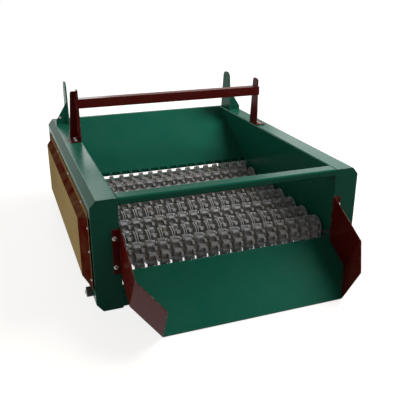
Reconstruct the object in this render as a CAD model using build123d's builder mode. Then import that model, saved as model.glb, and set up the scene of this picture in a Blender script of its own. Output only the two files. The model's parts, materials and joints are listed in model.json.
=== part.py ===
from build123d import *
from math import atan2, cos, hypot, radians, sin, tan
import os

# Stone separator: a bed of driven star rollers between two side boxes, in millimetres.
# +Z is up, -Y is the discharge end with the chute, and +X is on the right of someone who looks at the bed over the chute.
# The origin is on the floor, under the middle of the machine's overall box.

os.makedirs("parts", exist_ok=True)

# Main frame
inner_width = 1220.0            # between the inner walls
box_width = 140.0               # one side box, from inner wall to outer face
frame_length = 1725.0
frame_height = 612.0
frame_sheet = 6.0
frame_bend = 9.0                # outer bend radius of the side boxes
top_chamfer = (32.0, 38.0)      # across, down
foot_chamfer = (35.0, 45.0)     # across, up
top_lip = 60.0                  # outer lip under the top chamfer
foot_lip = 65.0                 # outer lip over the foot chamfer
plate_lap = 20.0                # how far the outer plate reaches behind each lip

# Cross members
crossbar_depth = 83.0
crossbar_height = 40.0
crossbar_bend = 12.0
sill_depth = 60.0
sill_height = 100.0
sill_inset = 10.0
sill_bend = 8.0
tube_wall = 5.0

# Inclined infeed plate at the back, with a lip and a comb of short fingers along its lower edge
infeed_sheet = 5.0
infeed_flange = 28.0            # level flange along its top edge
infeed_bend = 8.0
infeed_edge_back = 50.0         # of the lower edge, behind the last roller's axis
infeed_edge_rise = 83.0         # of the lower edge, above that axis
infeed_lip = 25.0               # down from the lower edge
finger_width = 16.0
finger_length = 20.0            # on along the plate's slope

# Star rollers, on a bed that rises a little towards the back
roller_count = 8
roller_pitch = 147.8
first_roller = 134.0            # axis of the first roller behind the front plane
first_roller_height = 218.0
roller_rise = 2.8               # from one roller to the next
roller_end_gap = 20.0           # from the barrel's end to the inner wall
barrel_radius = 34.0
shaft_radius = 17.5
end_disc_radius = 68.0
end_disc_thickness = 6.0
wheel_pitch = 70.0              # between the sets of wheels along a roller
star_teeth = 8
star_tip_radius = 71.0
star_root_radius = 50.0
tooth_root_width = 27.0
tooth_tip_width = 20.0
wide_star_width = 34.0
wide_star_shift = -10.0         # from the middle of its set
side_star_width = 13.0          # the narrow star beside each wide one, turned by half a tooth
side_star_shift = 14.5
narrow_star_width = 18.0
narrow_star_shift = 13.0
disc_radius = 64.0
disc_thickness = 6.0
disc_shifts = (-20.0, -8.0)     # the two discs beside each narrow star
wall_gap = 5.0                  # around a shaft in the inner wall
running_gap = 0.05              # radial, in a bearing

# Flange bearings on the right, plain bores on the left
bearing_square = 117.0
bearing_corner = 22.0
bearing_flange = 15.0
bearing_boss_radius = 42.0
bearing_reach = 43.0
bearing_fillet = 5.0
shaft_end_inset = 3.0           # from the bearing's face to the shaft's end
left_shaft_reach = 6.0          # past the left outer plate, under the chain cover

# Discharge chute
chute_slope = 28.7              # degrees
chute_drop = 35.0               # from the first roller's axis to the floor's upper face at the front plane
chute_half_width = 608.0
chute_lip_half_width = 494.0
chute_bend_run = 175.0          # down the slope, to where the cheeks turn in
chute_tuck = 24.0               # up the slope, behind the front plane
chute_sheet = 5.0
chute_clearance = 2.0           # from the lip down to the ground
cheek_height = 245.0
cheek_top_half_width = 605.0
cheek_top_lip_half_width = 503.0
cheek_top_bend_run = 189.0
cheek_top_overrun = 2.0         # of the cheeks' upper corners past the lip
cheek_flange_reach = 43.0
cheek_flange_rise = 22.0        # of its lower edge over the floor's upper edge
cheek_flange_tall = 247.0
cheek_bolt_offset = 13.0        # from the flange's outer edge
cheek_bolt_drop = 48.0          # from its upper edge
cheek_bolt_rise = 41.0          # from its lower edge
cheek_bolt_radius = 6.5

# Chain cover on the left
cover_front_margin = 55.0       # behind the front plane
cover_back_margin = 115.0       # ahead of the back plane
cover_low = 95.0
cover_top_margin = 70.0         # under the top of the frame
cover_reach = 37.0
cover_sheet = 3.0
cover_face_front = 120.0        # from the cover's front edge
cover_face_back = 55.0
cover_face_low = 37.0
cover_face_high = 76.0
cover_flange_front = 16.0
cover_flange_back = 16.0
cover_flange_low = 4.0
cover_flange_high = 39.0

# Ribbed chain tensioner under the cover
tensioner_back = 115.0
tensioner_height = 64.0
tensioner_radius = 27.0
tensioner_reach = 30.0
tensioner_ribs = 12
tensioner_groove = 3.2
tensioner_stud_radius = 8.0
tensioner_stud_reach = 36.0

# Lifting lugs on the back corners
lug_sheet = 10.0
lug_inset = 8.0                 # from the inner wall to the web
lug_back_margin = 29.0          # ahead of the back plane
lug_foot = 176.0                # along the box
lug_top_setback = 30.0          # of the top's front end, behind the foot's
lug_top = 100.0                 # along the box
lug_height = 290.0
lug_top_radius = 42.0
lug_eye_radius = 13.0
lug_eye_drop = 46.0
gusset_sheet = 8.0
gusset_setback = 16.0           # behind the front end of the lug's foot
gusset_reach = 80.0
gusset_height = 156.0
gusset_edge = 30.0

# Guard bar and its brackets
bracket_sheet = 6.0
bracket_inset = 3.0             # from the inner wall to the web
bracket_front = 1028.0
bracket_foot_length = 112.0     # along the box
bracket_top_setback = 10.0
bracket_top = 66.0              # along the box
bracket_height = 328.0
bracket_front_corner = 14.0
bracket_back_corner = 24.0
bracket_flange_foot = 60.0
bracket_flange_top = 40.0
bracket_flange_drop = 15.0      # of the flange's top under the web's
bracket_flange_corner = 12.0
bracket_foot_reach = 68.0
guard_bar_size = 58.0
guard_bar_wall = 4.0
guard_bar_setback = 8.0         # of its front face, behind the front end of the brackets' feet
guard_bar_rise = 243.0          # of its middle, over the frame
guard_bar_overhang = 12.0
guard_bar_gap = 0.4

# Worked out from the sizes above
wall_x = inner_width / 2
outer_x = wall_x + box_width
plate_x = outer_x - frame_sheet
lip_top_low = frame_height - top_chamfer[1] - top_lip
lip_foot_high = foot_chamfer[1] + foot_lip
slope = radians(chute_slope)
chute_height = first_roller_height - chute_drop
chute_run = (chute_height - chute_sheet * cos(slope) - chute_clearance) / sin(slope)
chute_reach = (chute_run + cheek_top_overrun) * cos(slope) + cheek_height * sin(slope)
front = (chute_reach - frame_length) / 2
back = front + frame_length
barrel_half = wall_x - roller_end_gap
roller_axes = [
    (front + first_roller + roller_pitch * i, first_roller_height + roller_rise * i) for i in range(roller_count)
]
set_half_count = int(barrel_half // wheel_pitch)
wheel_sets = [wheel_pitch * i for i in range(-set_half_count, set_half_count + 1)]
between_sets = [x + wheel_pitch / 2 for x in wheel_sets[:-1]]


def across(y):
    """Plane that cuts the machine across at a given Y. Its local axes are X and Z, and it faces the chute."""
    return Plane.XZ.offset(-y)


def along(x):
    """Plane that cuts the machine along at a given X. Its local axes are Y and Z, and it faces the right."""
    return Plane.YZ.offset(x)


def finish(piece, name):
    """Label a finished piece and write its file."""
    piece.part.label = name
    export_step(piece.part, f"parts/{name}.step")


# Outer outline of the right side box, with both outer corners cut
with BuildSketch() as box_outline:
    with BuildLine():
        FilletPolyline(
            (wall_x, 0),
            (outer_x - foot_chamfer[0], 0),
            (outer_x, foot_chamfer[1]),
            (outer_x, frame_height - top_chamfer[1]),
            (outer_x - top_chamfer[0], frame_height),
            (wall_x, frame_height),
            radius=frame_bend,
            close=True,
        )
    make_face()

# Side boxes, each closed by a post in front, a plate behind and a plate outside.
# Each piece is made on the right, and its twin is mirrored.
sides = ("right", "left")

for side in sides:
    with BuildPart() as side_box:
        with BuildSketch(across(front + frame_sheet)):
            add(box_outline.sketch)
            offset(amount=-frame_sheet, kind=Kind.INTERSECTION, mode=Mode.SUBTRACT)
            with Locations((outer_x, (lip_top_low + lip_foot_high) / 2)):
                Rectangle(4 * frame_sheet, lip_top_low - lip_foot_high, mode=Mode.SUBTRACT)
        extrude(amount=-(frame_length - 2 * frame_sheet))
        with BuildSketch(along(wall_x)):
            with Locations(*roller_axes):
                Circle(shaft_radius + wall_gap)
        extrude(amount=frame_sheet, mode=Mode.SUBTRACT)
        if side == "left":
            mirror(about=Plane.YZ, mode=Mode.REPLACE)
    finish(side_box, f"side_box_{side}")

    with BuildPart() as post:
        with BuildSketch(across(front)):
            add(box_outline.sketch)
        extrude(amount=-frame_sheet)
        if side == "left":
            mirror(about=Plane.YZ, mode=Mode.REPLACE)
    finish(post, f"front_post_{side}")

    with BuildPart() as end_plate:
        with BuildSketch(across(back - frame_sheet)):
            add(box_outline.sketch)
        extrude(amount=-frame_sheet)
        if side == "left":
            mirror(about=Plane.YZ, mode=Mode.REPLACE)
    finish(end_plate, f"end_plate_{side}")

    plate_low = lip_foot_high - plate_lap
    plate_high = lip_top_low + plate_lap
    plate_gap = wall_gap if side == "right" else running_gap
    with BuildPart() as outer_plate:
        with BuildSketch(along(plate_x)):
            with Locations(((front + back) / 2, (plate_low + plate_high) / 2)):
                Rectangle(frame_length - 2 * frame_sheet, plate_high - plate_low)
            with Locations(*roller_axes):
                Circle(shaft_radius + plate_gap, mode=Mode.SUBTRACT)
        extrude(amount=-frame_sheet)
        if side == "left":
            mirror(about=Plane.YZ, mode=Mode.REPLACE)
    finish(outer_plate, f"outer_plate_{side}")

# Cross members, butted against the inner walls.
# Columns: name, middle along Y, middle height, depth, height, bend radius
cross_members = (
    ("front_crossbar", front + crossbar_depth / 2, frame_height - crossbar_height / 2,
     crossbar_depth, crossbar_height, crossbar_bend),
    ("front_sill", front + sill_inset + sill_depth / 2, sill_height / 2, sill_depth, sill_height, sill_bend),
    ("rear_sill", back - sill_inset - sill_depth / 2, sill_height / 2, sill_depth, sill_height, sill_bend),
)
for name, middle, height, depth, tall, bend in cross_members:
    with BuildPart() as cross_member:
        with BuildSketch(along(0)):
            with Locations((middle, height)):
                RectangleRounded(depth, tall, bend)
                RectangleRounded(depth - 2 * tube_wall, tall - 2 * tube_wall, bend - tube_wall, mode=Mode.SUBTRACT)
        extrude(amount=wall_x, both=True)
    finish(cross_member, name)

# Infeed plate: level flange at the back, down towards the last roller, and a lip with fingers over it
edge_y = roller_axes[-1][0] + infeed_edge_back
edge_z = roller_axes[-1][1] + infeed_edge_rise
infeed_slope = atan2(frame_height - edge_z, back - infeed_flange - edge_y)

with BuildPart() as infeed_plate:
    with BuildSketch(along(0)):
        with BuildLine():
            FilletPolyline(
                (back, frame_height),
                (back - infeed_flange, frame_height),
                (edge_y, edge_z),
                (edge_y, edge_z - infeed_lip),
                radius=infeed_bend,
            )
            offset(amount=infeed_sheet, side=Side.LEFT)
        make_face()
    extrude(amount=wall_x, both=True)
    with BuildSketch(*[along(x + narrow_star_shift - finger_width / 2) for x in wheel_sets]):
        with BuildLine():
            Polyline(
                (edge_y + infeed_bend * cos(infeed_slope), edge_z + infeed_bend * sin(infeed_slope)),
                (edge_y - finger_length * cos(infeed_slope), edge_z - finger_length * sin(infeed_slope)),
            )
            offset(amount=infeed_sheet, side=Side.LEFT)
        make_face()
    extrude(amount=finger_width)
finish(infeed_plate, "infeed_plate")

# Chute: a sloping floor with a cheek on each side, bolted to the posts.
# Its plane lies in the floor's upper face, with local +Y up the slope and +Z away from the floor.
chute_plane = Plane(origin=(0, front, chute_height), x_dir=(1, 0, 0), z_dir=(0, -sin(slope), cos(slope)))

with BuildPart() as chute_floor:
    with BuildSketch(chute_plane):
        with BuildLine():
            Polyline(
                (-chute_half_width, chute_tuck),
                (-chute_half_width, -chute_bend_run),
                (-chute_lip_half_width, -chute_run),
                (chute_lip_half_width, -chute_run),
                (chute_half_width, -chute_bend_run),
                (chute_half_width, chute_tuck),
                close=True,
            )
        make_face()
    extrude(amount=-chute_sheet)
finish(chute_floor, "chute_floor")

# Columns: height over the floor, half width, run to the bend, half width at the lip, run to the lip
cheek_levels = (
    (0, chute_half_width, chute_bend_run, chute_lip_half_width, chute_run),
    (cheek_height, cheek_top_half_width, cheek_top_bend_run, cheek_top_lip_half_width,
     chute_run + cheek_top_overrun),
)
cheek_rise = cheek_height * tan(slope) + chute_sheet    # past the front plane, where the cheek is cut off

for side in sides:
    flange_wide = cheek_flange_reach + chute_sheet
    flange_edge = chute_half_width + cheek_flange_reach
    flange_low = chute_height + cheek_flange_rise
    bolt_x = flange_edge - cheek_bolt_offset
    bolt_low = flange_low + cheek_bolt_rise
    bolt_high = flange_low + cheek_flange_tall - cheek_bolt_drop
    with BuildPart() as cheek:
        for level, half_width, bend_run, lip_half_width, run in cheek_levels:
            with BuildSketch(chute_plane.offset(level)):
                with BuildLine():
                    Polyline(
                        (half_width, cheek_rise),
                        (half_width, -bend_run),
                        (lip_half_width, -run),
                        (lip_half_width + chute_sheet, -run),
                        (half_width + chute_sheet, -bend_run),
                        (half_width + chute_sheet, cheek_rise),
                        close=True,
                    )
                make_face()
        loft(ruled=True)
        split(bisect_by=across(front), keep=Keep.TOP)
        with BuildSketch(across(front)):
            with Locations((flange_edge - flange_wide / 2, flange_low + cheek_flange_tall / 2)):
                Rectangle(flange_wide, cheek_flange_tall)
            with Locations((bolt_x, bolt_low), (bolt_x, bolt_high)):
                Circle(cheek_bolt_radius, mode=Mode.SUBTRACT)
        extrude(amount=chute_sheet)
        if side == "left":
            mirror(about=Plane.YZ, mode=Mode.REPLACE)
    finish(cheek, f"chute_cheek_{side}")

# Chain cover: a flanged tray over the left side
cover_front = front + cover_front_margin
cover_back = back - cover_back_margin
cover_high = frame_height - cover_top_margin
tray_low = cover_low + cover_flange_low
tray_high = cover_high - cover_flange_high
tray_front = cover_front + cover_flange_front
tray_back = cover_back - cover_flange_back
face_front = cover_front + cover_face_front
face_back = cover_back - cover_face_back
face_low = cover_low + cover_face_low
face_high = cover_high - cover_face_high
tray_middle = ((tray_front + tray_back) / 2, (tray_low + tray_high) / 2)

with BuildPart() as chain_cover:
    with BuildSketch(along(-outer_x)):
        with Locations(tray_middle):
            Rectangle(tray_back - tray_front, tray_high - tray_low)
    with BuildSketch(along(-outer_x - cover_reach)):
        with Locations(((face_front + face_back) / 2, (face_low + face_high) / 2)):
            Rectangle(face_back - face_front, face_high - face_low)
    loft()
    mouth = chain_cover.faces().sort_by(Axis.X)[-1]
    offset(amount=-cover_sheet, openings=mouth, kind=Kind.INTERSECTION)
    with BuildSketch(along(-outer_x)):
        with Locations(((cover_front + cover_back) / 2, (cover_low + cover_high) / 2)):
            Rectangle(cover_back - cover_front, cover_high - cover_low)
        with Locations(tray_middle):
            Rectangle(
                tray_back - tray_front - 2 * cover_sheet,
                tray_high - tray_low - 2 * cover_sheet,
                mode=Mode.SUBTRACT,
            )
    extrude(amount=-cover_sheet)
finish(chain_cover, "chain_cover")

# Chain tensioner: a ribbed knob on a stud, on the left foot lip
with BuildPart() as tensioner:
    with BuildSketch(along(-outer_x)):
        with Locations((front + tensioner_back, tensioner_height)):
            Circle(tensioner_radius)
            with PolarLocations(tensioner_radius, tensioner_ribs):
                Circle(tensioner_groove, mode=Mode.SUBTRACT)
    extrude(amount=-tensioner_reach)
    with BuildSketch(along(-outer_x)):
        with Locations((front + tensioner_back, tensioner_height)):
            Circle(tensioner_stud_radius)
    extrude(amount=-tensioner_stud_reach)
finish(tensioner, "chain_tensioner")

# Lifting lugs: a tapered web with an eye, and a gusset across the box
for side in sides:
    lug_x = wall_x + lug_inset
    lug_end = back - lug_back_margin
    lug_start = lug_end - lug_foot
    lug_top_start = lug_start + lug_top_setback
    lug_high = frame_height + lug_height
    with BuildPart() as lug:
        with BuildSketch(along(lug_x)):
            with BuildLine():
                FilletPolyline(
                    (lug_start, frame_height),
                    (lug_top_start, lug_high),
                    (lug_top_start + lug_top, lug_high),
                    (lug_end, frame_height),
                    radius=lug_top_radius,
                )
                Line((lug_end, frame_height), (lug_start, frame_height))
            make_face()
            with Locations((lug_top_start + lug_top / 2, lug_high - lug_eye_drop)):
                Circle(lug_eye_radius, mode=Mode.SUBTRACT)
        extrude(amount=lug_sheet)
        with BuildSketch(across(lug_start + gusset_setback)):
            with BuildLine():
                Polyline(
                    (lug_x, frame_height),
                    (lug_x + lug_sheet + gusset_reach, frame_height),
                    (lug_x + lug_sheet + gusset_reach, frame_height + gusset_edge),
                    (lug_x + lug_sheet, frame_height + gusset_height),
                    (lug_x, frame_height + gusset_height),
                    close=True,
                )
            make_face()
        extrude(amount=-gusset_sheet)
        if side == "left":
            mirror(about=Plane.YZ, mode=Mode.REPLACE)
    finish(lug, f"lifting_lug_{side}")

# Guard brackets: a tapered web, a flange along its back edge, and a foot on the side box
bracket_start = front + bracket_front
bracket_end = bracket_start + bracket_foot_length
bracket_top_start = bracket_start + bracket_top_setback
bracket_top_end = bracket_top_start + bracket_top
bracket_high = frame_height + bracket_height
flange_length = hypot(bracket_end - bracket_top_end, bracket_height) - bracket_flange_drop
guard_bar_front = bracket_start + guard_bar_setback
guard_bar_middle = guard_bar_front + guard_bar_size / 2
guard_bar_height = frame_height + guard_bar_rise

for side in sides:
    web_x = wall_x + bracket_inset
    lean = Plane(
        origin=(web_x, bracket_end, frame_height),
        x_dir=(1, 0, 0),
        z_dir=(0, -bracket_height, bracket_top_end - bracket_end),
    )
    with BuildPart() as bracket:
        with BuildSketch(along(web_x)):
            with BuildLine():
                FilletPolyline(
                    (bracket_start, frame_height),
                    (bracket_top_start, bracket_high),
                    (bracket_top_end, bracket_high),
                    (bracket_end, frame_height),
                    radius=(bracket_front_corner, bracket_back_corner),
                )
                Line((bracket_end, frame_height), (bracket_start, frame_height))
            make_face()
            with Locations((bracket_start, guard_bar_height)):
                Rectangle(
                    guard_bar_setback + guard_bar_size + guard_bar_gap,
                    guard_bar_size + 2 * guard_bar_gap,
                    align=(Align.MIN, Align.CENTER),
                    mode=Mode.SUBTRACT,
                )
        extrude(amount=bracket_sheet)
        with BuildSketch(lean):
            with BuildLine():
                FilletPolyline(
                    (bracket_flange_foot, 0),
                    (bracket_flange_top, flange_length),
                    (0, flange_length),
                    radius=bracket_flange_corner,
                )
                Polyline((0, flange_length), (0, 0), (bracket_flange_foot, 0))
            make_face()
        extrude(amount=bracket_sheet)
        with BuildSketch(Plane.XY.offset(frame_height)):
            with Locations((web_x + bracket_foot_reach / 2, (bracket_start + bracket_end) / 2)):
                Rectangle(bracket_foot_reach, bracket_foot_length)
        extrude(amount=bracket_sheet)
        split(bisect_by=Plane.XY.offset(frame_height), keep=Keep.TOP)
        if side == "left":
            mirror(about=Plane.YZ, mode=Mode.REPLACE)
    finish(bracket, f"guard_bracket_{side}")

with BuildPart() as guard_bar:
    with BuildSketch(along(0)):
        with Locations((guard_bar_middle, guard_bar_height)):
            Rectangle(guard_bar_size, guard_bar_size)
            Rectangle(
                guard_bar_size - 2 * guard_bar_wall,
                guard_bar_size - 2 * guard_bar_wall,
                mode=Mode.SUBTRACT,
            )
    extrude(amount=wall_x + bracket_inset + bracket_sheet + guard_bar_overhang, both=True)
finish(guard_bar, "guard_bar")

# Rollers: sets of wheels along a barrel. Odd rollers carry wide stars with a narrow one beside each,
# even rollers narrow stars with two discs, and the last roller only narrow stars.
tooth_foot = star_root_radius * cos(radians(180 / star_teeth))
half_tooth = 180 / star_teeth

# Columns: shift from the middle of the set, width, turn of the star
wide_set = ((side_star_shift, side_star_width, 0), (wide_star_shift, wide_star_width, half_tooth))
narrow_set = ((narrow_star_shift, narrow_star_width, 0),)
end_discs = (-barrel_half, barrel_half - end_disc_thickness)

# Columns: stars of a set, discs of a set, middles of the sets
rollers = (
    (wide_set, (), wheel_sets),
    (narrow_set, disc_shifts, between_sets),
    (wide_set, (), wheel_sets),
    (narrow_set, disc_shifts, between_sets),
    (wide_set, (), wheel_sets),
    (narrow_set, disc_shifts, between_sets),
    (wide_set, (), between_sets),
    (narrow_set, (), wheel_sets),
)

for number, (axis, (stars, discs, middles)) in enumerate(zip(roller_axes, rollers), start=1):
    with BuildPart() as roller:
        with BuildSketch(along(-barrel_half)):
            with Locations(axis):
                Circle(barrel_radius)
        extrude(amount=2 * barrel_half)
        with BuildSketch(along(-plate_x - left_shaft_reach)):
            with Locations(axis):
                Circle(shaft_radius)
        extrude(amount=2 * plate_x + left_shaft_reach + bearing_reach - shaft_end_inset)
        with BuildSketch(*[along(x) for x in end_discs]):
            with Locations(axis):
                Circle(end_disc_radius)
        extrude(amount=end_disc_thickness)
        for shift, width, turn in stars:
            with BuildSketch(*[along(x + shift - width / 2) for x in middles]):
                with Locations(axis):
                    Circle(star_root_radius)
                    with PolarLocations(0, star_teeth, start_angle=turn):
                        Polygon(
                            (0, -tooth_root_width / 2),
                            (tooth_foot, -tooth_root_width / 2),
                            (star_tip_radius, -tooth_tip_width / 2),
                            (star_tip_radius, tooth_tip_width / 2),
                            (tooth_foot, tooth_root_width / 2),
                            (0, tooth_root_width / 2),
                            align=None,
                        )
            extrude(amount=width)
        if discs:
            with BuildSketch(*[along(x + shift - disc_thickness / 2) for x in middles for shift in discs]):
                with Locations(axis):
                    Circle(disc_radius)
            extrude(amount=disc_thickness)
    finish(roller, f"roller_{number}")

    with BuildPart() as bearing:
        with BuildSketch(along(plate_x)):
            with Locations(axis):
                RectangleRounded(bearing_square, bearing_square, bearing_corner)
        extrude(amount=bearing_flange)
        with BuildSketch(along(plate_x)):
            with Locations(axis):
                Circle(bearing_boss_radius)
        extrude(amount=bearing_reach)
        rim = bearing.edges().filter_by(GeomType.CIRCLE).sort_by(Axis.X)[-1]
        fillet(rim, bearing_fillet)
        with BuildSketch(along(plate_x)):
            with Locations(axis):
                Circle(shaft_radius + running_gap)
        extrude(amount=bearing_reach, mode=Mode.SUBTRACT)
    finish(bearing, f"bearing_{number}")
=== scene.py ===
"""Looks of a stone separator: a bed of star rollers between two closed side boxes, with a chute in front.

Lengths are in metres in the part's own frame: +X to the right, -Y towards the chute, +Z up.
"""
import json
import logging
from collections.abc import Iterable, Sequence
from dataclasses import dataclass, field
from enum import Enum
from math import cos, pi, radians, sin

import bmesh
import bpy
import numpy as np
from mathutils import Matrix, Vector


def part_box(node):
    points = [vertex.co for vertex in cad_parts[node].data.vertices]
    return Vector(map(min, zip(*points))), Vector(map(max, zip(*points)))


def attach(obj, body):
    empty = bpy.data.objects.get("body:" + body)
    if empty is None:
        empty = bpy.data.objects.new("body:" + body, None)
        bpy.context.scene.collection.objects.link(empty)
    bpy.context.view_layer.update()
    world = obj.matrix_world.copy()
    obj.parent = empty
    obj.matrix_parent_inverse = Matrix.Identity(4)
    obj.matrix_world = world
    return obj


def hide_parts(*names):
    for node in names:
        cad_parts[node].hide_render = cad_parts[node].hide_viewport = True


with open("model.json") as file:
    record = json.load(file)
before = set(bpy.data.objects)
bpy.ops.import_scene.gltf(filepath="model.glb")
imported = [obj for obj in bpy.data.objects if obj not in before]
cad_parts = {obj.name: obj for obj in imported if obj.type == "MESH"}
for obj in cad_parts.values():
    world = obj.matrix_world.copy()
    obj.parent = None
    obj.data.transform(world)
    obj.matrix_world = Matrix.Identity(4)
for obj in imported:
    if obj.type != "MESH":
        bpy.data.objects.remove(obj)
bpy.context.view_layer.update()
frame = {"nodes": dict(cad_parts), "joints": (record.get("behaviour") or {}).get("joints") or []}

log = logging.getLogger("separator")
Array = np.ndarray
Point = tuple[float, float, float]
Socket = bpy.types.NodeSocket
SMOOTH_ANGLE = radians(35)
MERGE_DISTANCE = 1e-6
THIN_BEAD = 0.8


class Slot(Enum):
    """Finish slots of the part's record."""

    GREEN = "green_paint"
    RED = "red_paint"
    STEEL = "roller_steel"
    IRON = "bearing_iron"


class Side(Enum):
    """The two long sides, with their direction along X."""

    LEFT = -1
    RIGHT = 1

    @property
    def word(self) -> str:
        """The side's word in a node's name."""
        return self.name.lower()

    def span(self, node: str) -> tuple[float, float]:
        """The places along X where a node on this side begins, nearer to the middle, and ends."""
        near, far = sorted(abs(corner.x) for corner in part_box(node))
        return self.value * near, self.value * far


def front_plane() -> float:
    """The place along Y of the front posts' faces."""
    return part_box("front_post_left")[0].y


def inner_wall() -> float:
    """The distance of the boxes' inner walls from the middle."""
    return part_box("side_box_right")[0].x


# Surfaces

@dataclass(frozen=True)
class Surface:
    """A surface of quads: points is an (n, 3) array and faces an (m, 4) array of their numbers."""

    points: Array
    faces: Array

    def placed(self, origin: Point, axis: Point, turn: float = 0.0) -> "Surface":
        """Turns the surface about +Z, tips +Z onto an axis and moves it.

        Args:
            origin: where the surface's own origin goes.
            axis: the direction that +Z goes to.
            turn: the angle about +Z, first.

        Returns:
            The placed surface.
        """
        up = np.array(axis, float) / np.linalg.norm(axis)
        helper = np.array((0, 0, 1.0)) if abs(up[2]) < 0.9 else np.array((0, 1.0, 0))
        side = np.cross(helper, up)
        side /= np.linalg.norm(side)
        ahead = np.cross(up, side)
        x = self.points[:, 0] * cos(turn) - self.points[:, 1] * sin(turn)
        y = self.points[:, 0] * sin(turn) + self.points[:, 1] * cos(turn)
        spread = np.outer(x, side) + np.outer(y, ahead) + np.outer(self.points[:, 2], up)
        return Surface(spread + np.array(origin), self.faces)

    @staticmethod
    def joined(surfaces: Iterable["Surface"]) -> "Surface":
        """Puts several surfaces into one.

        Args:
            surfaces: the surfaces.

        Returns:
            One surface with all their points and faces.
        """
        points, faces, first = [], [], 0
        for surface in surfaces:
            points.append(surface.points)
            faces.append(surface.faces + first)
            first += len(surface.points)
        return Surface(np.concatenate(points), np.concatenate(faces))


def grid_faces(rows: int, steps: int, wraps: bool) -> Array:
    """Quads between neighbouring rows of a grid of points.

    Args:
        rows: how many rows of points.
        steps: how many points in a row.
        wraps: whether the last point of a row is joined to its first.

    Returns:
        An (m, 4) array of point numbers.
    """
    across = steps if wraps else steps - 1
    row, step = np.meshgrid(np.arange(rows - 1), np.arange(across), indexing="ij")
    following = (step + 1) % steps
    corners = (row * steps + step, row * steps + following,
               (row + 1) * steps + following, (row + 1) * steps + step)
    return np.stack(corners, axis=-1).reshape(-1, 4)


def turned(radius: Array, height: Array) -> Surface:
    """A surface round +Z: x is the radius times cos u, y the radius times sin u, and z the height.

    Args:
        radius: (rows, steps) array, one row of radii for each height.
        height: (rows,) array.

    Returns:
        The surface, closed where its first and last radii are 0.
    """
    rows, steps = radius.shape
    u = np.linspace(0, 2 * pi, steps, endpoint=False)
    z = np.broadcast_to(np.asarray(height, float)[:, None], radius.shape)
    points = np.stack((radius * np.cos(u), radius * np.sin(u), z), axis=-1).reshape(-1, 3)
    return Surface(points, grid_faces(rows, steps, wraps=True))


def lathed(profile: Sequence[tuple[float, float]], steps: int = 24) -> Surface:
    """A round surface about +Z from a profile of (radius, height) pairs."""
    radius, height = np.array(profile, float).T
    return turned(np.repeat(radius[:, None], steps, axis=1), height)


def polygon_radius(sides: int, apothem: float, steps: int) -> Array:
    """Radius of a regular polygon's edge: the apothem over the cosine of the angle off the nearest flat.

    Args:
        sides: how many sides it has.
        apothem: the distance from its middle to a flat.
        steps: how many angles round the circle.

    Returns:
        A (steps,) array, a radius for each angle.
    """
    u = np.linspace(0, 2 * pi, steps, endpoint=False)
    flat = 2 * pi / sides
    return apothem / np.cos((u + flat / 2) % flat - flat / 2)


def bar(section: Array, start: Point, end: Point, first: Point, second: Point) -> Surface:
    """A straight bar: a section carried from start to end, and closed at both ends to its middle.

    Args:
        section: (n, 2) array, how far each point lies along first and second.
        start: the section's origin at one end.
        end: its origin at the other.
        first: the section's first direction.
        second: its second direction.

    Returns:
        The closed bar.
    """
    ring = np.outer(section[:, 0], first) + np.outer(section[:, 1], second)
    middle = np.broadcast_to(ring.mean(axis=0), ring.shape)
    rows = np.stack((middle + start, ring + start, ring + end, middle + end))
    return Surface(rows.reshape(-1, 3), grid_faces(4, len(section), wraps=True))


def bead(start: Point, end: Point, first: Point, second: Point, width: float) -> Surface:
    """A weld bead in the corner of two faces, from start to end.

    At each place along it the section is a quarter circle between the directions first and second. Its
    radius is the width times one plus a small ripple, and it falls to nothing at both ends.

    Args:
        start: one end of the corner's line.
        end: its other end.
        first: the direction from the corner along one face.
        second: the direction from the corner along the other.
        width: the bead's width on each face.

    Returns:
        The closed bead.
    """
    begin, span = np.array(start), np.array(end) - np.array(start)
    length = float(np.linalg.norm(span))
    ripple, ripple_pitch = 0.14, 0.006
    arc = 4
    count = max(8, int(3 * length / ripple_pitch))
    along = np.linspace(0, 1, count)
    taper = np.sqrt(np.clip(np.minimum(along, 1 - along) * length / width, 0, 1))
    swell = 1 + ripple * np.abs(np.sin(pi * along * length / ripple_pitch))
    phi = np.linspace(0, pi / 2, arc)
    reach = np.append(np.ones(arc), 0)[None, :] * (width * taper * swell)[:, None]
    a = np.append(np.cos(phi), 0)[None, :] * reach
    b = np.append(np.sin(phi), 0)[None, :] * reach
    across = a[..., None] * np.array(first)
    points = (begin + np.outer(along, span))[:, None, :] + across + b[..., None] * np.array(second)
    return Surface(points.reshape(-1, 3), grid_faces(count, arc + 1, wraps=True))


def piece(name: str, surface: Surface, material: bpy.types.Material,
          body: str = "frame", replaced: Sequence[str] = ()) -> bpy.types.Object:
    """Makes an object of a surface, closes its seams and poles, and rides it on a body.

    Args:
        name: the piece's name.
        surface: its form, in its place.
        material: its finish.
        body: the body that it moves with.
        replaced: the CAD nodes that it stands for.

    Returns:
        The object.
    """
    mesh = bpy.data.meshes.new(name)
    mesh.from_pydata(surface.points.tolist(), [], surface.faces.tolist())
    work = bmesh.new()
    work.from_mesh(mesh)
    bmesh.ops.remove_doubles(work, verts=work.verts, dist=MERGE_DISTANCE)
    bmesh.ops.recalc_face_normals(work, faces=work.faces)
    work.to_mesh(mesh)
    work.free()
    mesh.shade_smooth()
    mesh.set_sharp_from_angle(angle=SMOOTH_ANGLE)
    mesh.materials.append(material)
    made = bpy.data.objects.new(name, mesh)
    bpy.context.scene.collection.objects.link(made)
    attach(made, body)
    if replaced:
        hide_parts(*replaced)
    log.info("%s: %d faces", name, len(mesh.polygons))
    return made


def dress(nodes: Iterable[str], material: bpy.types.Material) -> None:
    """Gives CAD nodes their finish.

    Args:
        nodes: the nodes' names.
        material: their finish.
    """
    for name in nodes:
        mesh = frame["nodes"][name].data
        mesh.materials.clear()
        mesh.materials.append(material)
        log.info("%s: %s", name, material.name)


# Node trees

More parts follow.
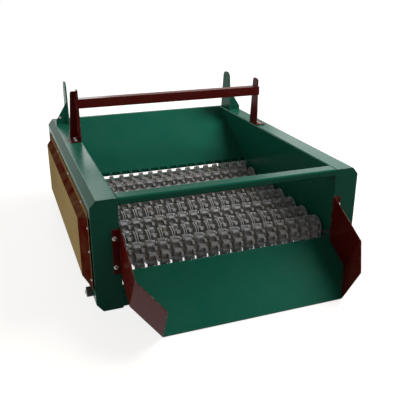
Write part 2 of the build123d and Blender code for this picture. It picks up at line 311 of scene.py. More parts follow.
class Nodes:
    """A shader node tree under construction."""

    def __init__(self, tree: bpy.types.NodeTree) -> None:
        """Takes the tree that nodes are added to."""
        self.tree = tree

    def node(self, kind: str, settings: dict[str, object] | None = None,
             **values: float | Socket | Point) -> bpy.types.Node:
        """Adds a node, sets its properties, and sets or links its inputs.

        Args:
            kind: the node's type, after ShaderNode.
            settings: its properties.
            values: its inputs by name, with _ for a space, or in_0, in_1 by number.

        Returns:
            The node.
        """
        node = self.tree.nodes.new("ShaderNode" + kind)
        for key, setting in (settings or {}).items():
            setattr(node, key, setting)
        for key, value in values.items():
            label = int(key[3:]) if key.startswith("in_") else key.replace("_", " ")
            self.give(node.inputs[label], value)
        return node

    def give(self, target: Socket, value: float | Socket | Point) -> None:
        """Links a socket to the one that feeds it, or sets its constant.

        Args:
            target: the socket.
            value: the constant, or the socket that feeds it.
        """
        if isinstance(value, Socket):
            self.tree.links.new(value, target)
        else:
            target.default_value = value

    def math(self, operation: str, *values: float | Socket) -> Socket:
        """Adds a Math node and gives its result."""
        inputs = {f"in_{number}": value for number, value in enumerate(values)}
        return self.node("Math", {"operation": operation}, **inputs).outputs[0]


class Effect(Nodes):
    """A shader node group that is built once: its inputs, its outputs and the nodes between them."""

    def __init__(self, name: str, inputs: dict[str, float | Point], outputs: dict[str, str]) -> None:
        """Makes the group's sockets.

        Args:
            name: the group's name.
            inputs: each input's name and default, where three numbers make a vector.
            outputs: each output's name and socket type.
        """
        super().__init__(bpy.data.node_groups.new(name, "ShaderNodeTree"))
        for label, default in inputs.items():
            kind = "NodeSocketFloat" if isinstance(default, (int, float)) else "NodeSocketVector"
            made = self.tree.interface.new_socket(name=label, in_out="INPUT", socket_type=kind)
            made.default_value = default
        for label, kind in outputs.items():
            self.tree.interface.new_socket(name=label, in_out="OUTPUT", socket_type=kind)
        self.given = self.tree.nodes.new("NodeGroupInput").outputs
        self.result = self.tree.nodes.new("NodeGroupOutput").inputs


def edge_effect() -> Effect:
    """Worn edges, also used as a painted highlight: the mask rises where the rounded normal leaves the flat
    one, broken up by noise.

    Returns:
        The group, with the mask and the rounded normal.
    """
    flat_match, worn_match = 0.985, 0.82
    made = Effect("worn_edges", {"Place": (0, 0, 0), "Radius": 0.002, "Patches": 40.0},
                  {"Mask": "NodeSocketFloat", "Rounded": "NodeSocketVector"})
    rounded = made.node("Bevel", {"samples": 4}, Radius=made.given["Radius"])
    flat = made.node("NewGeometry")
    match = made.node("VectorMath", {"operation": "DOT_PRODUCT"},
                      in_0=rounded.outputs["Normal"], in_1=flat.outputs["Normal"])
    edge = made.node("MapRange", {"interpolation_type": "SMOOTHSTEP"}, Value=match.outputs["Value"],
                     From_Min=flat_match, From_Max=worn_match)
    patches = made.node("TexNoise", Vector=made.given["Place"], Scale=made.given["Patches"], Detail=4.0)
    broken = made.node("MapRange", Value=patches.outputs["Fac"], From_Min=0.42, From_Max=0.6)
    made.give(made.result["Mask"], made.math("MULTIPLY", edge.outputs["Result"], broken.outputs["Result"]))
    made.give(made.result["Rounded"], rounded.outputs["Normal"])
    return made


def drift_effect() -> Effect:
    """Uneven coat: a slow value between 0 and 1, the sum of two sizes of noise, each times its share.

    Returns:
        The group, with the value.
    """
    slow_share, fine_share = 0.7, 0.3
    made = Effect("uneven_coat", {"Place": (0, 0, 0), "Size": 3.0}, {"Value": "NodeSocketFloat"})
    slow = made.node("TexNoise", Vector=made.given["Place"], Scale=made.given["Size"], Detail=2.0)
    fine = made.node("TexNoise", Vector=made.given["Place"], Scale=60.0, Detail=5.0, Roughness=0.6)
    added = made.math("MULTIPLY", fine.outputs["Fac"], fine_share)
    made.give(made.result["Value"], made.math("MULTIPLY_ADD", slow.outputs["Fac"], slow_share, added))
    return made


def dust_effect() -> Effect:
    """Dry soil dust: most on faces that look up, in soft patches.

    Returns:
        The group, with the mask.
    """
    side_share = 0.15
    made = Effect("soil_dust", {"Place": (0, 0, 0), "Amount": 0.2}, {"Mask": "NodeSocketFloat"})
    face = made.node("NewGeometry")
    parts = made.node("SeparateXYZ", Vector=face.outputs["Normal"])
    upward = made.node("MapRange", Value=parts.outputs["Z"], From_Min=-0.2, From_Max=1.0,
                       To_Min=side_share)
    patches = made.node("TexNoise", Vector=made.given["Place"], Scale=9.0, Detail=6.0, Roughness=0.62)
    spread = made.node("MapRange", Value=patches.outputs["Fac"], From_Min=0.35, From_Max=0.75)
    both = made.math("MULTIPLY", upward.outputs["Result"], spread.outputs["Result"])
    made.give(made.result["Mask"], made.math("MULTIPLY", both, made.given["Amount"]))
    return made


def grain_effect() -> Effect:
    """Surface grain: the height of fine noise, for a bump.

    Returns:
        The group, with the height.
    """
    made = Effect("surface_grain", {"Place": (0, 0, 0), "Size": 400.0}, {"Height": "NodeSocketFloat"})
    fine = made.node("TexNoise", Vector=made.given["Place"], Scale=made.given["Size"], Detail=3.0)
    made.give(made.result["Height"], fine.outputs["Fac"])
    return made


@dataclass(frozen=True)
class Effects:
    """The shader groups that the finishes share."""

    edges: Effect = field(default_factory=edge_effect)
    drift: Effect = field(default_factory=drift_effect)
    dust: Effect = field(default_factory=dust_effect)
    grain: Effect = field(default_factory=grain_effect)


# Finishes

Colour = tuple[float, float, float, float]


def rgb(red: float, green: float, blue: float) -> Colour:
    """A linear colour with full alpha."""
    return (red, green, blue, 1.0)


SOIL = rgb(0.36, 0.27, 0.12)
# Bare steel at worn edges; on paint the same light edge is also a painted highlight.
BARE_STEEL_AND_HIGHLIGHT = rgb(0.36, 0.37, 0.37)


class Shading(Nodes):
    """A material under construction: its tree, its place coordinates and its Principled shader."""

    def __init__(self, name: str, centre: Point = (0.0, 0.0, 0.0)) -> None:
        """Starts a material.

        Args:
            name: its name.
            centre: the point that patterns are centred on.
        """
        self.material = bpy.data.materials.new(name)
        self.material.use_nodes = True
        super().__init__(self.material.node_tree)
        self.shader = self.tree.nodes["Principled BSDF"]
        source = self.node("TexCoord").outputs["Object"]
        shift = tuple(-value for value in centre)
        self.place = self.node("Mapping", Vector=source, Location=shift).outputs["Vector"]

    def effect(self, source: Effect, **values: float) -> bpy.types.Node:
        """Places a shared effect with its own values.

        Args:
            source: the effect.
            values: its inputs by name.

        Returns:
            The group's node, fed with the place coordinates.
        """
        node = self.tree.nodes.new("ShaderNodeGroup")
        node.node_tree = source.tree
        for key, value in {"Place": self.place, **values}.items():
            self.give(node.inputs[key], value)
        return node

    def mix(self, amount: Socket | float, low: Socket | Colour, high: Socket | Colour) -> Socket:
        """Mixes two colours."""
        node = self.node("Mix", {"data_type": "RGBA"}, in_0=amount, in_6=low, in_7=high)
        return node.outputs[2]

    def ramp(self, value: Socket, low: float, high: float, start: float = 0.0, end: float = 1.0) -> Socket:
        """Maps a value from the range start to end onto the range low to high."""
        node = self.node("MapRange", Value=value, From_Min=start, From_Max=end, To_Min=low, To_Max=high)
        return node.outputs["Result"]

    def feed(self, label: str, value: Socket | float | Colour) -> None:
        """Sets or links one of the shader's inputs."""
        self.give(self.shader.inputs[label], value)

    def bump(self, height: Socket, strength: float, depth: float, normal: Socket) -> None:
        """Feeds a bump over a normal into the shader's own normal."""
        node = self.node("Bump", Height=height, Strength=strength, Distance=depth, Normal=normal)
        self.feed("Normal", node.outputs["Normal"])


@dataclass(frozen=True)
class Paint:
    """Sprayed paint on sheet steel: uneven coat, worn edges with painted highlight, a little dry dust and
    orange peel.

    A painted warm reflection of the colour film, reflection_amount at most, lies on faces that
    look to the side. It is full at a distance of panel_start from the middle, and inner_share of that nearer
    to it.
    """

    name: str
    colour: Colour
    shade: Colour
    roughness: float = 0.26
    roughness_spread: tuple[float, float] = (-0.06, 0.08)
    specular: float = 0.05
    coat_size: float = 2.4
    coat_range: tuple[float, float] = (0.35, 0.65)
    edge_radius: float = 0.003
    edge_wear_and_highlight: float = 0.75
    grain_size: float = 420.0
    grain_strength: float = 0.014
    grain_depth: float = 0.0006
    dust: float = 0.02
    reflection_amount: float = 0.0
    panel_facing: tuple[float, float] = (0.955, 0.985)
    panel_start: float = 0.0
    panel_fade: float = 0.001
    panel_patches: tuple[float, float] = (0.3, 0.7)
    thin_patch: float = 0.82
    inner_share: float = 0.45
    film: Colour = rgb(0.50, 0.385, 0.185)

    def material(self, effects: Effects) -> bpy.types.Material:
        """Builds the paint's material.

        Args:
            effects: the shared shader groups.

        Returns:
            The material.
        """
        shading = Shading(self.name)
        drift = shading.effect(effects.drift, Size=self.coat_size).outputs["Value"]
        edges = shading.effect(effects.edges, Radius=self.edge_radius)
        dust = shading.effect(effects.dust, Amount=self.dust).outputs["Mask"]
        grain = shading.effect(effects.grain, Size=self.grain_size).outputs["Height"]
        coat = shading.mix(shading.ramp(drift, 0.0, 1.0, *self.coat_range), self.shade, self.colour)
        # Worn edges and painted highlight: the paint turns light along its edges.
        worn_and_lit = shading.mix(shading.ramp(edges.outputs["Mask"], 0.0, self.edge_wear_and_highlight), coat, BARE_STEEL_AND_HIGHLIGHT)
        dust_and_reflection = shading.mix(dust, worn_and_lit, SOIL)
        # Painted warm reflection: a tan colour over the faces that look to the side.
        if self.reflection_amount:
            dust_and_reflection = shading.mix(self.painted_reflection_mask(shading, drift), dust_and_reflection, self.film)
        shading.feed("Base Color", dust_and_reflection)
        smooth, rough = (self.roughness + part for part in self.roughness_spread)
        shading.feed("Roughness", shading.ramp(drift, smooth, rough))
        shading.feed("Specular IOR Level", self.specular)
        shading.bump(grain, self.grain_strength, self.grain_depth, edges.outputs["Rounded"])
        return shading.material

    def painted_reflection_mask(self, shading: Shading, drift: Socket) -> Socket:
        """Painted warm reflection on the faces that look straight to the side, thinner nearer to the middle.

        Args:
            shading: the material.
            drift: the uneven coat's value, which makes patches in the painted reflection.

        Returns:
            The painted reflection's mask.
        """
        face = shading.node("NewGeometry").outputs["Normal"]
        sideways = shading.node("SeparateXYZ", Vector=face).outputs["X"]
        facing = shading.math("ABSOLUTE", sideways)
        film = shading.ramp(facing, 0.0, self.reflection_amount, *self.panel_facing)
        across = shading.node("SeparateXYZ", Vector=shading.place).outputs["X"]
        distance = shading.math("ABSOLUTE", across)
        outside = shading.ramp(distance, self.inner_share, 1.0, self.panel_start,
                               self.panel_start + self.panel_fade)
        uneven = shading.ramp(drift, self.thin_patch, 1.0, *self.panel_patches)
        return shading.math("MULTIPLY", shading.math("MULTIPLY", film, uneven), outside)


@dataclass(frozen=True)
class Steel:
    """Bare steel or iron: dark and light patches, bright edges and a little dry dust.

    Where tip_radius is set, the steel is scoured brighter from hub_radius to tip_radius round the axis
    through the centre.
    """

    name: str
    colour: Colour
    dark: Colour
    roughness: float = 0.42
    roughness_spread: tuple[float, float] = (0.10, -0.06)
    metallic: float = 0.35
    specular: float = 0.4
    patch_size: float = 14.0
    patch_range: tuple[float, float] = (0.35, 0.68)
    edge_radius: float = 0.0018
    edge_shine: float = 0.5
    edge_patches: float = 90.0
    dust: float = 0.18
    grain_size: float = 260.0
    grain_strength: float = 0.25
    grain_depth: float = 0.0008
    centre: Point = (0.0, 0.0, 0.0)
    hub_radius: float = 0.0
    tip_radius: float = 0.0
    tip_share: float = 0.55
    patch_share: float = 0.45

    def material(self, effects: Effects) -> bpy.types.Material:
        """Builds the steel's material.

        Args:
            effects: the shared shader groups.

        Returns:
            The material.
        """
        shading = Shading(self.name, self.centre)
        drift = shading.effect(effects.drift, Size=self.patch_size).outputs["Value"]
        edges = shading.effect(effects.edges, Radius=self.edge_radius, Patches=self.edge_patches)
        dust = shading.effect(effects.dust, Amount=self.dust).outputs["Mask"]
        grain = shading.effect(effects.grain, Size=self.grain_size).outputs["Height"]
        patina = shading.ramp(drift, 0.0, 1.0, *self.patch_range)
        if self.tip_radius:
            patina = self.scoured(shading, patina)
        body = shading.mix(patina, self.dark, self.colour)
        bright = shading.mix(shading.ramp(edges.outputs["Mask"], 0.0, self.edge_shine), body, BARE_STEEL_AND_HIGHLIGHT)
        shading.feed("Base Color", shading.mix(dust, bright, SOIL))
        shading.feed("Metallic", self.metallic)
        shading.feed("Specular IOR Level", self.specular)
        rough, smooth = (self.roughness + part for part in self.roughness_spread)
        shading.feed("Roughness", shading.ramp(drift, rough, smooth))
        shading.bump(grain, self.grain_strength, self.grain_depth, edges.outputs["Rounded"])
        return shading.material

    def scoured(self, shading: Shading, patina: Socket) -> Socket:
        """Brighter steel towards the tips, by the distance from the roller's axis.

        Args:
            shading: the material.
            patina: the share of light steel in the patches.

        Returns:
            The share of light steel: the tips' share and the patches' share, added.
        """
        parts = shading.node("SeparateXYZ", Vector=shading.place)
        flat = shading.node("CombineXYZ", Y=parts.outputs["Y"], Z=parts.outputs["Z"])
        distance = shading.node("VectorMath", {"operation": "LENGTH"}, in_0=flat.outputs["Vector"])
        tips = shading.ramp(distance.outputs["Value"], 0.0, 1.0, self.hub_radius, self.tip_radius)
        patches = shading.math("MULTIPLY", patina, self.patch_share)
        return shading.math("MULTIPLY_ADD", tips, self.tip_share, patches)


@dataclass(frozen=True)
class Palette:
    """Every finish of the separator, built once."""

    effects: Effects
    green: bpy.types.Material
    red: bpy.types.Material
    cover_red: bpy.types.Material
    iron: bpy.types.Material
    zinc: bpy.types.Material
    knob: bpy.types.Material
    weld: bpy.types.Material
    red_weld: bpy.types.Material

    @staticmethod
    def mixed() -> "Palette":
        """Builds the finishes.

        Returns:
            The palette.
        """
        effects = Effects()
        green = Paint("green_paint", rgb(0.008, 0.104, 0.066), rgb(0.007, 0.096, 0.060))
        # The red paints' heavier dust is partly real dust and partly a painted warm reflection on their
        # upward faces.
        red = Paint("dark_red_paint", rgb(0.095, 0.003, 0.003), rgb(0.085, 0.002, 0.003), dust=0.14)
        # The cover's faces that look to the side carry a painted warm reflection in tan.
        cover = Paint("cover_red_paint", red.colour, red.shade, specular=0.0, roughness=0.5, dust=0.5,
                      reflection_amount=0.95, panel_start=0.760)
        iron = Steel("cast_iron", rgb(0.075, 0.078, 0.08), rgb(0.045, 0.045, 0.045), metallic=0.2,
                     roughness=0.5)
        zinc = Steel("zinc_plate", rgb(0.62, 0.61, 0.57), rgb(0.5, 0.48, 0.42), metallic=0.5, roughness=0.36,
                     edge_radius=0.0006, edge_shine=0.3)
        knob = Steel("dark_knob", rgb(0.06, 0.06, 0.062), rgb(0.03, 0.03, 0.03), metallic=0.1, roughness=0.55)
        weld = Paint("painted_weld", green.colour, green.shade, edge_radius=0.0008, edge_wear_and_highlight=0.15)
        red_weld = Paint("painted_red_weld", red.colour, red.shade, edge_radius=0.0008, edge_wear_and_highlight=0.15)
        made = [finish.material(effects) for finish in (green, red, cover, iron, zinc, knob, weld, red_weld)]
        return Palette(effects, *made)


# Fasteners

@dataclass(frozen=True)
class HexBolt:
    """A hexagon head on a washer, +Z out of the face that it holds."""

    flats: float = 0.019
    head: float = 0.008
    washer_radius: float = 0.012
    washer: float = 0.0022
    stub: float = 0.0

    def surface(self) -> Surface:
        """Washer, head with its corners taken off at the top, and the thread's end where one stands out.

        The head's radius at each angle is the hexagon's, and at its top a little less than its apothem.

        Returns:
            The bolt, standing on its own origin.
        """
        steps = 12
        hexagon = polygon_radius(6, self.flats / 2, steps)
        circle = np.full(steps, self.flats / 2 * 0.985)
        none = np.zeros(steps)
        low, high = self.washer, self.washer + self.head
        corner, dish, dish_middle = high - self.head * 0.18, high - 0.0004, high - 0.0006
        head = turned(np.stack((none, hexagon, hexagon, circle, circle * 0.8, none)),
                      np.array((low, low, corner, high, dish, dish_middle)))
        rim, edge, bevel = self.washer_radius, low * 0.8, low * 0.3
        washer = lathed(((0, 0), (rim, 0), (rim, edge), (rim - bevel, low), (0, low)), 20)
        parts = [head, washer]
        if self.stub:
            thread, root, tip = self.flats * 0.33, high - 0.001, high + self.stub
            shoulder = high + self.stub * 0.8
            profile = ((0, root), (thread, root), (thread, shoulder), (thread * 0.8, tip), (0, tip))
            parts.append(lathed(profile, 14))
        return Surface.joined(parts)

    def row(self, places: Iterable[Point], axis: Point) -> Surface:
        """The bolt at each place, each turned a little differently."""
        single = self.surface()
        return Surface.joined(single.placed(at, axis, turn=0.37 * i) for i, at in enumerate(places))


@dataclass(frozen=True)
class SlottedBolt:
    """A round cheese head with a screwdriver slot, +Z out of the face that it holds."""

    radius: float = 0.0115
    head: float = 0.0068
    slot_width: float = 0.0046
    slot_depth: float = 0.0045

    def surface(self) -> Surface:
        """A domed head with its slot, on a skirt.

        The top is a square grid pressed into a disc: x is s times the root of 1 less half of t squared, and
        y is t times the root of 1 less half of s squared. Its height is the crown's, less the slot's depth
        where s lies in the slot.

        Returns:
            The head, standing on its own origin.
        """
        slot = self.slot_width / 2 / self.radius
        lip = slot + 0.02
        half = np.array((slot, lip, 0.36, 0.6, 0.86, 1))
        s = np.concatenate((-half[::-1], half))
        t = np.linspace(-1, 1, len(s))
        s_grid, t_grid = np.meshgrid(s, t, indexing="ij")
        x = s_grid * np.sqrt(1 - t_grid ** 2 / 2)
        y = t_grid * np.sqrt(1 - s_grid ** 2 / 2)
        away = np.clip(np.hypot(x, y), 0, 1)
        crown = self.head * (0.55 + 0.45 * np.sqrt(1 - 0.9 * away ** 2))
        z = np.where(np.abs(s_grid) < lip, crown - self.slot_depth, crown)
        top = Surface(np.stack((x * self.radius, y * self.radius, z), axis=-1).reshape(-1, 3),
                      grid_faces(len(s), len(t), wraps=False))
        rim, base = crown[0, 0], 0.001
        wide, edge, inner = self.radius * 1.04, self.radius * 0.99, self.radius * 0.9
        profile = ((0, 0), (wide, 0), (wide, rim * 0.9), (edge, rim), (inner, rim), (inner, base), (0, base))
        return Surface.joined((top, lathed(profile, 28)))

    def slot_shade_bar(self) -> Surface:
        """Painted shade along the slot's floor: a dark flat bar across the head.

        Returns:
            The bar, in the head's own place.
        """
        half, low, high = self.slot_width * 0.45, self.head * 0.3, self.head * 0.62
        section = np.array(((-half, low), (half, low), (half, high), (-half, high)))
        reach = self.radius * 0.93
        return bar(section, (0, -reach, 0), (0, reach, 0), (1, 0, 0), (0, 0, 1))


# Sub-assemblies

@dataclass
class SideBoxes:
    """The two folded side boxes with the plates that close them, and the tubes between them."""

    palette: Palette
    tubes: tuple[str, ...] = ("front_crossbar", "front_sill", "rear_sill")
    weld_width: float = 0.0055
    foot_margin: float = 0.004
    end_margin: float = 0.012

    def build(self) -> None:
        """Dresses the boxes and the tubes and adds the tubes' beads."""
        words = ("side_box", "front_post", "end_plate", "outer_plate")
        dress([f"{word}_{side.word}" for word in words for side in Side], self.palette.green)
        dress(self.tubes, self.palette.green)
        self.tube_beads()

    def tube_beads(self) -> None:
        """Beads where the tubes meet the inner walls, none on a face flush with the front."""
        front, wall = front_plane(), inner_wall()
        for tube in self.tubes:
            low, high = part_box(tube)
            foot, head = low.z + self.foot_margin, high.z - self.end_margin
            near, far = low.y + self.end_margin, high.y - self.end_margin
            z, away = (low.z, -1) if low.z > 0 else (high.z, 1)
            beads = []
            for side in Side:
                x = side.value * wall
                inward = (-side.value, 0, 0)
                for y, ahead in ((low.y, -1), (high.y, 1)):
                    if y - self.weld_width < front and ahead < 0:
                        continue
                    beads.append(bead((x, y, foot), (x, y, head), (0, ahead, 0), inward, self.weld_width))
                beads.append(bead((x, near, z), (x, far, z), (0, 0, away), inward,
                                  self.weld_width * THIN_BEAD))
            piece(f"{tube}_welds", Surface.joined(beads), self.palette.weld)


@dataclass
class InfeedPlate:
    """The inclined plate behind the rollers."""

    palette: Palette

    def build(self) -> None:
        """Dresses the plate."""
        dress(("infeed_plate",), self.palette.green)


@dataclass
class RollerBed:
    """The eight rollers, each with its own steel, centred on its axis."""

    palette: Palette
    hub_radius: float = 0.036
    tip_radius: float = 0.071
    light: Colour = rgb(0.35, 0.36, 0.39)
    dark: Colour = rgb(0.25, 0.22, 0.175)

    def build(self) -> None:
        """Dresses each roller."""
        for joint in frame["joints"]:
            name = joint["child"]
            centre = tuple(joint["pos_m"])
            steel = Steel(f"{name}_steel", self.light, self.dark, roughness=0.5, metallic=0.22, specular=0.2,
                          edge_shine=0.3, centre=centre, hub_radius=self.hub_radius,
                          tip_radius=self.tip_radius)
            dress((name,), steel.material(self.palette.effects))


@dataclass
class FlangeBearings:
    """The row of flange bearings on the right side."""

    palette: Palette
    bolt_offset: float = 0.043
    flange: float = 0.015
    nipple_inset: float = 0.014
    nipple_rise: float = 0.0395
    nipple_apothem: float = 0.0042
    nipple_base: float = 0.005

    def build(self) -> None:
        """Dresses each bearing and adds its bolts and its grease nipple."""
        bolt = HexBolt()
        for joint in frame["joints"]:
            number = joint["child"].split("_")[1]
            node = f"bearing_{number}"
            low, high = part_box(node)
            y, z = joint["pos_m"][1:]
            dress((node,), self.palette.iron)
            face = low.x + self.flange
            places = [(face, y + i * self.bolt_offset, z + j * self.bolt_offset)
                      for i in (-1, 1) for j in (-1, 1)]
            piece(f"bearing_bolts_{number}", bolt.row(places, (1, 0, 0)), self.palette.zinc)
            nipple = self.nipple((high.x - self.nipple_inset, y, z + self.nipple_rise))
            piece(f"grease_nipple_{number}", nipple, self.palette.zinc)

    def nipple(self, at: Point) -> Surface:
        """A grease nipple: a small hexagon under a ball end, in a profile of radius over height.

        Args:
            at: the place of its foot.

        Returns:
            The nipple, upright.
        """
        steps = 12
        hexagon = polygon_radius(6, self.nipple_apothem, steps)
        none = np.zeros(steps)
        base = turned(np.stack((none, hexagon, hexagon, none)),
                      np.array((0, 0, self.nipple_base, self.nipple_base)))
        ball = lathed(((0, 0.004), (0.0022, 0.004), (0.002, 0.0075), (0.0031, 0.009), (0.0031, 0.0105),
                       (0.0014, 0.0125), (0, 0.0125)), steps)
        return Surface.joined((base, ball)).placed(at, (0, 0, 1))


@dataclass
class ChainCover:
    """The cover over the chain on the left, with the bolts round its flange and the tensioner's knob."""

    palette: Palette
    flange: float = 0.003
    nut_inset: float = 0.0055
    top_drop: float = 0.013
    end_margin: float = 0.008
    first_bolt: float = 0.170
    bolt_spacing: float = 0.462
    end_rows: tuple[float, ...] = (0.16, 0.32, 0.45)

    def build(self) -> None:
        """Dresses the cover and the tensioner and adds their fasteners."""
        dress(("chain_cover",), self.palette.cover_red)
        dress(("chain_tensioner",), self.palette.knob)
        low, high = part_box("chain_cover")
        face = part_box("side_box_left")[0].x - self.flange
        along = np.arange(low.y + self.first_bolt, high.y, self.bolt_spacing)
        places = [(face, float(y), high.z - self.top_drop) for y in along]
        ends = (low.y + self.end_margin, high.y - self.end_margin)
        places += [(face, y, z) for y in ends for z in self.end_rows]
        bolt = HexBolt(flats=0.011, head=0.005, washer_radius=0.0072, washer=0.0014)
        piece("cover_bolts", bolt.row(places, (-1, 0, 0)), self.palette.zinc)
        self.tensioner_nut()

    def tensioner_nut(self) -> None:
        """A flat nut on the tensioner's stud."""
        low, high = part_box("chain_tensioner")
        nut = HexBolt(flats=0.022, head=0.004, washer_radius=0.015, washer=0.001)
        centre = (low.x + self.nut_inset, (low.y + high.y) / 2, (low.z + high.z) / 2)
        piece("tensioner_nut", nut.row((centre,), (-1, 0, 0)), self.palette.zinc)


@dataclass
class Chute:
    """The sloping chute floor between its two cheeks.

    The studs are given left and then right, by how far they lie behind the front plane. One in front of it
    stands on the cheek, which is cheek_step nearer to the middle than the wall.
    """

    palette: Palette
    bolt_x: float = 0.638
    bolt_rows: tuple[float, float] = (0.404, 0.246)
    slot_turn: float = radians(38)
    stud_backs: tuple[float, float] = (-0.013, 0.035)
    stud_heights: tuple[float, float] = (0.250, 0.226)
    cheek_step: float = 0.004
    cheek_flange: float = 0.005
    slope: float = radians(28.7)
    sheet: float = 0.005
    hem_length: float = 0.009

    def build(self) -> None:
        """Dresses the chute and adds its hem, its flanges' bolts and the studs beside the first roller."""
        dress(("chute_floor",), self.palette.green)
        dress([f"chute_cheek_{side.word}" for side in Side], self.palette.red)
        self.hem()
        front, wall = front_plane(), inner_wall()
        bolt = SlottedBolt()
        parts = (("cheek_bolts", bolt.surface(), self.palette.zinc, Slot.STEEL),
                 # A dark bar in each slot is painted shade.
                 ("cheek_bolt_slots", bolt.slot_shade_bar(), self.palette.knob, Slot.IRON))
        for side in Side:
            places = [(side.value * self.bolt_x, front - self.cheek_flange, z) for z in self.bolt_rows]
            for name, single, material, slot in parts:
                row = Surface.joined(single.placed(at, (0, -1, 0), self.slot_turn) for at in places)
                piece(f"{name}_{side.word}", row, material)
        stud = HexBolt(flats=0.019, head=0.010, washer_radius=0.013, washer=0.0025, stub=0.016)
        for side, back, height in zip(Side, self.stud_backs, self.stud_heights):
            inset = self.cheek_step if back < 0 else 0.0
            at = (side.value * (wall - inset), front + back, height)
            single = stud.row((at,), (-side.value, 0, 0))
            piece(f"wall_stud_{side.word}", single, self.palette.knob)

    def hem(self) -> None:
        """The floor's upper edge: the sheet's section goes on up the slope and ends in a round nose."""
        low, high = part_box("chute_floor")
        nose = np.linspace(pi / 2, -pi / 2, 9)
        half = self.sheet / 2
        along = np.concatenate(((0, ), self.hem_length - half + half * np.cos(nose), (0, )))
        away = np.concatenate(((0, ), half * np.sin(nose) - half, (-self.sheet, )))
        start = (low.x, high.y - self.sheet * sin(self.slope), high.z)
        made = bar(np.column_stack((along, away)), start, (high.x, start[1], start[2]),
                   (0, cos(self.slope), sin(self.slope)), (0, -sin(self.slope), cos(self.slope)))
        piece("chute_hem", made, self.palette.green)


@dataclass
class LiftingLugs:
    """The two green lifting lugs on the rear corners."""

    palette: Palette
    weld_width: float = 0.0055
    weld_margin: float = 0.004
    corner_weld: float = 0.148
    gusset_back: float = 0.016
    gusset_sheet: float = 0.008
    web_sheet: float = 0.010
    bolt_x: float = 0.681
    bolt_rise: float = 0.05

    def build(self) -> None:
        """Dresses the lugs and adds their beads and the bolt in the left gusset."""
        for side in Side:
            name = f"lifting_lug_{side.word}"
            dress((name,), self.palette.green)
            low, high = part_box(name)
            out = side.value
            inner, tip = side.span(name)
            web, end = inner + out * self.web_sheet, tip - out * self.weld_margin
            front, back = low.y + self.weld_margin, high.y - self.weld_margin
            gusset = low.y + self.gusset_back
            behind = gusset + self.gusset_sheet
            foot = (
                ((web, front), (web, gusset), (out, 0, 0)),
                ((web, behind), (web, back), (out, 0, 0)),
                ((web, gusset), (end, gusset), (0, -1, 0)),
                ((web, behind), (end, behind), (0, 1, 0)),
            )
            beads = [bead((*start, low.z), (*finish, low.z), away, (0, 0, 1), self.weld_width)
                     for start, finish, away in foot]
            beads.append(bead((web, gusset, low.z), (web, gusset, low.z + self.corner_weld), (out, 0, 0),
                              (0, -1, 0), self.weld_width * THIN_BEAD))
            piece(f"lug_welds_{side.word}", Surface.joined(beads), self.palette.weld)
            if side is Side.LEFT:
                bolt = HexBolt(flats=0.013, head=0.006, washer_radius=0.009, washer=0.0016)
                at = (out * self.bolt_x, gusset, low.z + self.bolt_rise)
                piece("gusset_bolt_left", bolt.row((at,), (0, -1, 0)), self.palette.zinc)


@dataclass
class GuardRail:
    """The dark red guard bar on its two brackets."""

    palette: Palette
    foot_sheet: float = 0.006
    weld_width: float = 0.0045
    weld_margins: tuple[float, float] = (0.004, 0.012)
    bolt_offset: float = 0.032
    bolt_rows: tuple[float, float] = (0.022, 0.072)

    def build(self) -> None:
        """Dresses the rail and adds the bolts of its feet and its beads."""
        dress(("guard_bar",), self.palette.red)
        bolt = HexBolt(flats=0.017, head=0.0075, washer_radius=0.0115, washer=0.002)
        for side in Side:
            name = f"guard_bracket_{side.word}"
            dress((name,), self.palette.red)
            low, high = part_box(name)
            out = side.value
            inner, _ = side.span(name)
            top = low.z + self.foot_sheet
            outer = inner + out * self.foot_sheet
            places = [(inner + out * self.bolt_offset, low.y + back, top) for back in self.bolt_rows]
            piece(f"bracket_bolts_{side.word}", bolt.row(places, (0, 0, 1)), self.palette.zinc)
            front, back = low.y + self.weld_margins[0], high.y - self.weld_margins[1]
            weld = bead((outer, front, top), (outer, back, top), (out, 0, 0), (0, 0, 1), self.weld_width)
            piece(f"bracket_welds_{side.word}", weld, self.palette.red_weld)


# Surroundings

@dataclass(frozen=True)
class Lamp:
    """A square soft lamp that looks at a point."""

    name: str
    at: Point
    target: Point
    size: float
    power: float
    tint: Point = (1.0, 1.0, 1.0)
    mirrored: bool = True

    def build(self) -> None:
        """Adds the lamp, which glossy faces mirror unless told otherwise."""
        light = bpy.data.lights.new(self.name, "AREA")
        light.size = self.size
        light.energy = self.power
        light.color = self.tint
        made = bpy.data.objects.new(self.name, light)
        bpy.context.scene.collection.objects.link(made)
        made.location = self.at
        toward = Vector(self.target) - Vector(self.at)
        made.rotation_euler = toward.to_track_quat("-Z", "Y").to_euler()
        made.visible_glossy = self.mirrored


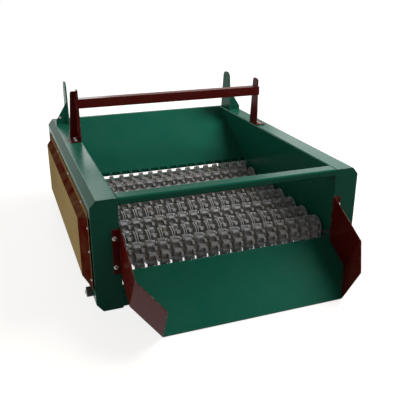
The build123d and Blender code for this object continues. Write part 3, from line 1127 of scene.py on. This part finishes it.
@dataclass
class Studio:
    """Pale floor, white surroundings, soft lamps and the camera, whose two angles are in degrees."""

    front: float
    lamps: tuple[Lamp, ...] = (
        Lamp("key_lamp", (3.3, -0.4, 4.0), (0, 0, 0.4), 2.6, 262.0, mirrored=False),
        Lamp("rear_lamp", (-0.5, 3.6, 2.2), (-0.3, 0, 0.5), 1.4, 30.0, (0.95, 1.0, 1.0)),
        Lamp("right_rear_lamp", (3.2, 3.2, 2.0), (0.6, -0.3, 0.6), 1.8, 22.0, (1.0, 0.98, 1.0)),
        Lamp("left_lamp", (-3.6, -0.3, 0.5), (0, 0, 0.3), 1.6, 32.0, (1.0, 0.95, 0.85)),
    )
    floor_size: float = 60.0
    floor_drop: float = 0.001
    floor_colour: Colour = rgb(0.33, 0.30, 0.26)
    floor_glow: float = 0.82
    floor_fade: tuple[float, float] = (1.4, 4.0)
    sky: float = 0.2
    haze: tuple[float, float] = (radians(12), radians(32))
    ceiling: float = 0.35
    camera_back: float = 2.485
    camera_side: float = -1.105
    camera_height: float = 1.612
    look_down: float = 21.96
    look_right: float = 20.23
    lens: float = 50.64
    sensor: float = 36.0

    def build(self) -> None:
        """Sets up the surroundings."""
        bpy.context.scene.view_settings.view_transform = "Standard"
        self.floor()
        self.world()
        for lamp in self.lamps:
            lamp.build()
        self.camera()

    def floor(self) -> None:
        """A pale floor that shows white and keeps the separator's shadow.

        Its glow rises from floor_glow to 1 over the distances in floor_fade from the middle.
        """
        corners = np.array(((-1, -1), (1, -1), (1, 1), (-1, 1))) * self.floor_size / 2
        points = np.column_stack((corners, np.full(4, -self.floor_drop)))
        mesh = bpy.data.meshes.new("floor")
        mesh.from_pydata(points.tolist(), [], [(0, 1, 2, 3)])
        made = bpy.data.objects.new("floor", mesh)
        bpy.context.scene.collection.objects.link(made)
        shading = Shading("pale_floor")
        shading.feed("Base Color", self.floor_colour)
        shading.feed("Roughness", 0.9)
        shading.feed("Specular IOR Level", 0.0)
        away = shading.node("VectorMath", {"operation": "LENGTH"}, in_0=shading.place).outputs["Value"]
        level = shading.ramp(away, self.floor_glow, 1.0, *self.floor_fade)
        share = shading.math("MULTIPLY", self.seen(shading), level)
        glow = shading.node("Emission", Color=rgb(1, 1, 1), Strength=share)
        both = shading.node("AddShader", in_0=shading.shader.outputs[0], in_1=glow.outputs[0])
        shading.give(shading.tree.nodes["Material Output"].inputs["Surface"], both.outputs[0])
        mesh.materials.append(shading.material)

    @staticmethod
    def seen(nodes: Nodes) -> Socket:
        """1 for camera, glossy and transmission rays, so that metal shows the same white as the view does.

        Args:
            nodes: the node tree to build in.

        Returns:
            The socket that holds it.
        """
        path = nodes.node("LightPath").outputs
        first = nodes.math("MAXIMUM", path["Is Camera Ray"], path["Is Glossy Ray"])
        return nodes.math("MAXIMUM", first, path["Is Transmission Ray"])

    def world(self) -> None:
        """White surroundings for seen rays and a dimmer sky that lights the separator.

        The white falls to the ceiling's level over the angles in haze above the horizon.
        """
        world = bpy.data.worlds.new("surroundings")
        world.use_nodes = True
        nodes = Nodes(world.node_tree)
        direction = nodes.node("TexCoord").outputs["Generated"]
        upward = nodes.node("SeparateXYZ", Vector=direction).outputs["Z"]
        low, high = (sin(angle) for angle in self.haze)
        level = nodes.node("MapRange", Value=upward, From_Min=low, From_Max=high, To_Min=1.0,
                           To_Max=self.ceiling).outputs["Result"]
        strength = nodes.node("MapRange", Value=self.seen(nodes), To_Min=self.sky, To_Max=level)
        background = nodes.tree.nodes["Background"].inputs
        nodes.give(background["Color"], rgb(1, 1, 1))
        nodes.give(background["Strength"], strength.outputs["Result"])
        bpy.context.scene.world = world

    def camera(self) -> None:
        """The camera at the photograph's angle."""
        data = bpy.data.cameras.new("camera")
        data.lens = self.lens
        data.sensor_width = self.sensor
        made = bpy.data.objects.new("camera", data)
        bpy.context.scene.collection.objects.link(made)
        made.location = (self.camera_side, self.front - self.camera_back, self.camera_height)
        made.rotation_euler = (radians(90 - self.look_down), 0, radians(-self.look_right))
        bpy.context.scene.camera = made


def main() -> None:
    """Builds the finishes, the sub-assemblies and the studio in order."""
    logging.basicConfig(level=logging.INFO, format="%(message)s")
    palette = Palette.mixed()
    sections = (SideBoxes, InfeedPlate, RollerBed, FlangeBearings, ChainCover, Chute, LiftingLugs, GuardRail)
    for section in sections:
        section(palette).build()
    Studio(front_plane()).build()


if __name__ == "__main__":
    main()
